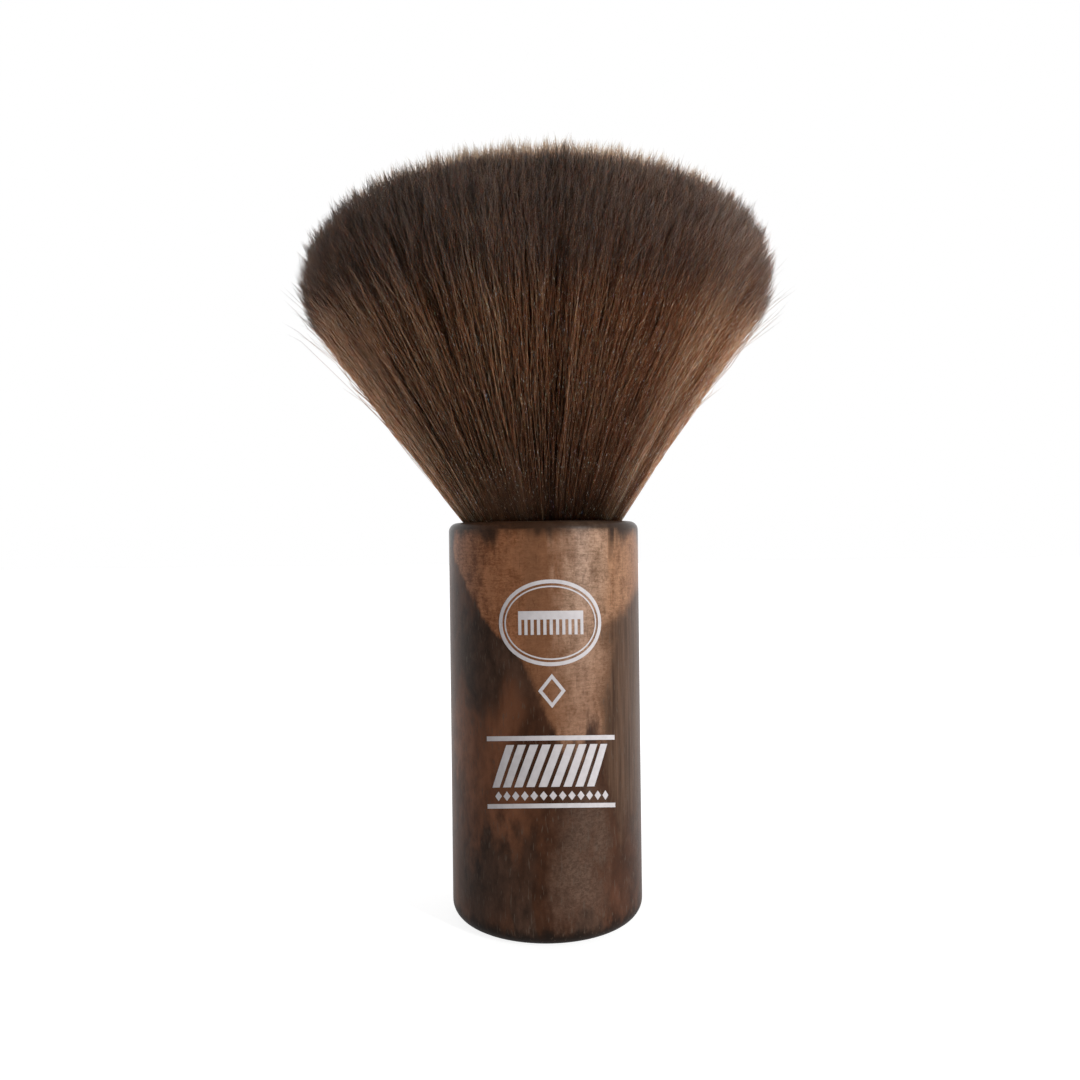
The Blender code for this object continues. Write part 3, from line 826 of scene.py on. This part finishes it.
def hank_meshes(hank, random, clumps, locks):
    """The fibres of one hank, as meshes of long outer fibres and of short inner ones."""
    share = np.sqrt(random.uniform(hank.share_low**2, hank.share_high**2, hank.count))
    angle = random.uniform(hank.angle_low, hank.angle_high, hank.count)
    disc = FAN_SHARE * share[:, None] * np.stack([np.cos(angle), np.sin(angle)], axis=1)
    clump, lock = clumps.nearest(disc), locks.nearest(disc)
    tips = tip_distances(share, disc, clump, clumps.size, random)
    below = shortened(tips, share, random)
    tips -= below
    for low, high, drop in BAND_DROPS:
        below += drop * grow(share, low, high)
    splay, stray = splay_of(share, clump, random)
    tone = tones_of(hank, share, angle, clump, lock, random)
    meshes = []
    for is_long, rings in ((True, LONG_RINGS), (False, SHORT_RINGS)):
        chosen = (share > LONG_SHARE) == is_long
        if not chosen.any():
            continue
        end = tips[chosen]
        slant = np.sqrt((share[chosen] * SIDE_SLOPE) ** 2 + 1)
        start = (RIM - START_BELOW_RIM - APEX) * slant if is_long else end - SHORT_LENGTH
        own = [(centres[chosen], traits[chosen]) for centres, traits in (clump, lock)]
        lines = strand_lines(disc[chosen], end, start, rings, *own, splay[chosen], random)
        thickness = FIBRE_RADIUS * random.uniform(*FIBRE_RADII, len(end))
        thickness *= np.where(stray[chosen], STRAY_RADIUS, 1)
        radii = thickness[:, None] * np.append(np.ones(len(rings) - 1), TIP_FINENESS)
        meshes.append(strands_mesh(hank.node, lines, radii, tone[chosen], below[chosen]))
    return meshes


def joined(name, meshes):
    """The meshes as one mesh."""
    shape = bmesh.new()
    for mesh in meshes:
        shape.from_mesh(mesh)
        bpy.data.meshes.remove(mesh)
    return mesh_from(shape, name)


def make_fibres(material):
    random = np.random.default_rng(SEED)
    clumps = Clumps(CLUMP_SIZE, random)
    locks = Clumps(LOCK_SIZE, random)
    step = 2 * math.pi / HANK_COUNT
    hanks = [Hank("bristle_core", 0, CORE_SHARE, 0, 2 * math.pi, CORE_FIBRES, 0)]
    for index, shade in enumerate(HANK_SHADES):
        low = HANK_PARTING + index * step
        hanks.append(Hank(f"bristle_hank_{index + 1}", CORE_SHARE, 1.0, low, low + step, HANK_FIBRES, shade))
    for hank in hanks:
        name = hank.node + "_fibres"
        mesh = joined(name, hank_meshes(hank, random, clumps, locks))
        add_piece(name, mesh, material, "bristle", hank.node)


def make_heart(material):
    """The dense middle of the head, which closes the view between the fibres: near black, as painted shade.
    """
    profile = []
    for angle in np.linspace(math.pi / 2, SHOULDER, 40):
        radius = CROWN_RADIUS * math.cos(angle)
        height = CROWN_CENTRE + CROWN_RISE * math.sin(angle) - APEX
        reach = math.hypot(radius, height)
        kept = (reach - HEART_DEPTH) / reach
        profile.append((radius * kept * HEART_SHARE, APEX + height * kept))
    profile[0] = (0.0, profile[0][1])
    profile += [
        (FAN_RADIUS * HEART_SHARE, RIM),
        (ROOT_RADIUS * HEART_SHARE, APEX + ROOT_RADIUS / SIDE_SLOPE),
        (ROOT_RADIUS * HEART_SHARE, ROOT_FLOOR),
        (0.0, ROOT_FLOOR),
    ]
    mesh = turned_mesh("bristle_heart", profile)
    for vertex in mesh.vertices:
        vertex.co.x += bowed(vertex.co.z)
    add_piece("bristle_heart", mesh, material, "bristle")


# ---------------------------------------------------------------- print

def oval(half_width, half_height, steps=72):
    angles = [2 * math.pi * step / steps for step in range(steps)]
    return [(half_width * math.cos(a), half_height * math.sin(a)) for a in angles]


def bar(width, height):
    left, low = -width / 2, -height / 2
    return [(left, low), (left + width, low), (left + width, low + height), (left, low + height)]


def lozenge(x, half_width, half_height):
    return [(x + half_width, 0), (x, half_height), (x - half_width, 0), (x, -half_height)]


def comb(width, height, teeth, spine=0.36):
    """A comb with its teeth down, and a spine that takes up this share of its height."""
    left, top = -width / 2, height / 2
    pitch = width / (2 * teeth - 1)
    root = top - spine * height
    points = [(left, top)]
    for tooth in range(teeth):
        start = left + 2 * tooth * pitch
        points += [(start, -top), (start + pitch, -top)]
        if tooth < teeth - 1:
            points += [(start + pitch, root), (start + 2 * pitch, root)]
    points.append((-left, top))
    return points


def slanted_bars(width, height, count, lean, share):
    """Barber's pole stripes: evenly spaced slanted bars, each as wide as this share of the pitch."""
    pitch = (width - lean) / count
    bars = []
    for index in range(count):
        foot = -width / 2 + index * pitch
        end = foot + share * pitch
        top = height / 2
        bars.append([(foot, -top), (end, -top), (end + lean, top), (foot + lean, top)])
    return bars


def filled_shape(name, outlines):
    """The area inside the outlines as a flat bmesh. An outline inside another one is a hole."""
    data = bpy.data.curves.new(name, "CURVE")
    data.dimensions = "2D"
    data.fill_mode = "BOTH"
    for outline in outlines:
        spline = data.splines.new("POLY")
        spline.points.add(len(outline) - 1)
        for point, (x, z) in zip(spline.points, outline):
            point.co = (x, z, 0.0, 1.0)
        spline.use_cyclic_u = True
    curve = bpy.data.objects.new(name, data)
    bpy.context.scene.collection.objects.link(curve)
    bpy.context.view_layer.update()
    flat = bpy.data.meshes.new_from_object(curve.evaluated_get(bpy.context.evaluated_depsgraph_get()))
    bpy.data.objects.remove(curve)
    shape = bmesh.new()
    shape.from_mesh(flat)
    bpy.data.meshes.remove(flat)
    bmesh.ops.remove_doubles(shape, verts=shape.verts, dist=0.001 * MM)
    return shape


def printed_mesh(name, outlines, height):
    """Thin plates cut to the outlines and wrapped round the barrel at this height. They arch a little, so
    that a rule looks straight from EYE."""
    shape = filled_shape(name, outlines)
    half_width = max(abs(v.co.x) for v in shape.verts)
    for cut in np.arange(-half_width, half_width, INK_FACET)[1:]:
        everything = shape.verts[:] + shape.edges[:] + shape.faces[:]
        bmesh.ops.bisect_plane(shape, geom=everything, plane_co=(cut, 0, 0), plane_no=(1, 0, 0), dist=1e-7)
    grown = bmesh.ops.extrude_face_region(shape, geom=shape.faces[:], use_keep_orig=True)
    lifted = {item for item in grown["geom"] if isinstance(item, bmesh.types.BMVert)}
    for vertex in shape.verts:
        radius = HANDLE_RADIUS + (INK_TOP if vertex in lifted else INK_BOTTOM)
        angle = vertex.co.x / HANDLE_RADIUS + PRINT_ANGLE
        farness = (EYE.y + radius * math.cos(angle)) / (EYE.y + HANDLE_RADIUS)
        level = EYE.z + (vertex.co.y + height - EYE.z) * farness
        vertex.co = (radius * math.sin(angle), -radius * math.cos(angle), level)
    bmesh.ops.recalc_face_normals(shape, faces=shape.faces)
    return mesh_from(shape, name)


def make_prints(material):
    """The printed marks, each at the height of its CAD node."""
    marks = {
        "print_badge_ring": [
            oval(11.4 * MM, 9.1 * MM), oval(10.6 * MM, 8.3 * MM),
            oval(10.1 * MM, 7.8 * MM), oval(9.8 * MM, 7.5 * MM),
        ],
        "print_comb": [comb(14 * MM, 5 * MM, teeth=11)],
        "print_diamond": [lozenge(0, 2.9 * MM, 3.6 * MM), lozenge(0, 2.0 * MM, 2.5 * MM)],
        "print_rule_upper": [bar(29.7 * MM, 1.0 * MM)],
        "print_pole_stripes": slanted_bars(27 * MM, 8.9 * MM, count=9, lean=3.5 * MM, share=0.68),
        "print_bead_line": [lozenge(x * MM, 0.8 * MM, 1.0 * MM) for x in np.linspace(-12, 12, 13)],
        "print_rule_lower": [bar(29.7 * MM, 0.95 * MM)],
    }
    for node, outlines in marks.items():
        low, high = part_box(node)
        mesh = printed_mesh(node + "_ink", outlines, (low.z + high.z) / 2)
        add_piece(node + "_ink", mesh, material, "ink", node)


def finish_inner_pieces():
    """Materials for the CAD pieces inside the bore, which keep their CAD shapes."""
    glue = ((0.42, 0.33, 0.16), (0.60, 0.50, 0.28))
    resin = ((0.36, 0.20, 0.06), (0.58, 0.38, 0.15))
    cord = ((0.40, 0.34, 0.24), (0.70, 0.63, 0.50))
    finishes = {
        "glue_bed": cloudy_material("adhesive", 400.0, 4.0, glue, 0.45),
        "knot_cup": cup_material(),
        "resin_plug": cloudy_material("cast_resin", 300.0, 4.0, resin, 0.25),
        "binding_cord": cloudy_material("tie_cord", 2500.0, 3.0, cord, 0.85),
    }
    for node, material in finishes.items():
        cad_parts[node].material_slots[0].material = material


# ---------------------------------------------------------------- stage

def make_camera():
    data = bpy.data.cameras.new("camera")
    data.sensor_width = SENSOR
    data.lens = LENS
    data.clip_start = 0.01
    camera = bpy.data.objects.new("camera", data)
    camera.location = EYE
    camera.rotation_euler = (math.pi / 2, ROLL, 0.0)
    bpy.context.scene.collection.objects.link(camera)
    bpy.context.scene.camera = camera


def make_floor(material):
    bpy.ops.mesh.primitive_plane_add(size=6.0, location=(0, 0, 0))
    floor = bpy.context.object
    floor.name = "floor"
    floor.data.materials.append(material)


def add_light(name, azimuth, elevation, distance, size, power):
    """A soft box aimed at the middle of the brush. Azimuth 0 is in front and 90 is on the right."""
    data = bpy.data.lights.new(name, "AREA")
    data.shape = "RECTANGLE"
    data.size, data.size_y = size
    data.energy = power
    lamp = bpy.data.objects.new(name, data)
    a, e = math.radians(azimuth), math.radians(elevation)
    target = Vector((0, 0, CROWN_TOP / 2))
    back = Vector((math.sin(a) * math.cos(e), -math.cos(a) * math.cos(e), math.sin(e)))
    lamp.location = target + distance * back
    lamp.rotation_euler = back.to_track_quat("Z", "Y").to_euler()
    bpy.context.scene.collection.objects.link(lamp)


def make_world():
    """White to the camera. As light, bright behind and beside the brush, and dim overhead and in front."""
    world = bpy.data.worlds.new("studio")
    bpy.context.scene.world = world
    world.use_nodes = True
    n = Nodes(world.node_tree)
    _, back, up = n.parts(n.add("ShaderNodeTexCoord").outputs["Generated"])
    horizon = n.slope(back, *WORLD_TURN, *WORLD_FRONT_TO_BACK)
    strength = n.math("MULTIPLY", horizon, n.slope(up, *WORLD_RISE, 1.0, WORLD_ZENITH))
    seen = n.add("ShaderNodeLightPath").outputs["Is Camera Ray"]
    background = n.tree.nodes["Background"]
    background.inputs["Color"].default_value = (1.0, 1.0, 1.0, 1.0)
    n.feed(background.inputs["Strength"], n.pick(seen, strength, 1.0))


def make_stage():
    make_camera()
    make_floor(floor_material())
    make_world()
    add_light("key", azimuth=45, elevation=12, distance=0.9, size=(0.07, 0.80), power=9.0)
    add_light("top", azimuth=0, elevation=80, distance=1.2, size=(1.4, 1.4), power=1.2)
    bpy.context.scene.view_settings.view_transform = "Standard"


make_stage()
make_handle(wood_material())
make_prints(ink_material())
finish_inner_pieces()
make_heart(heart_material())
make_fibres(fibre_material())
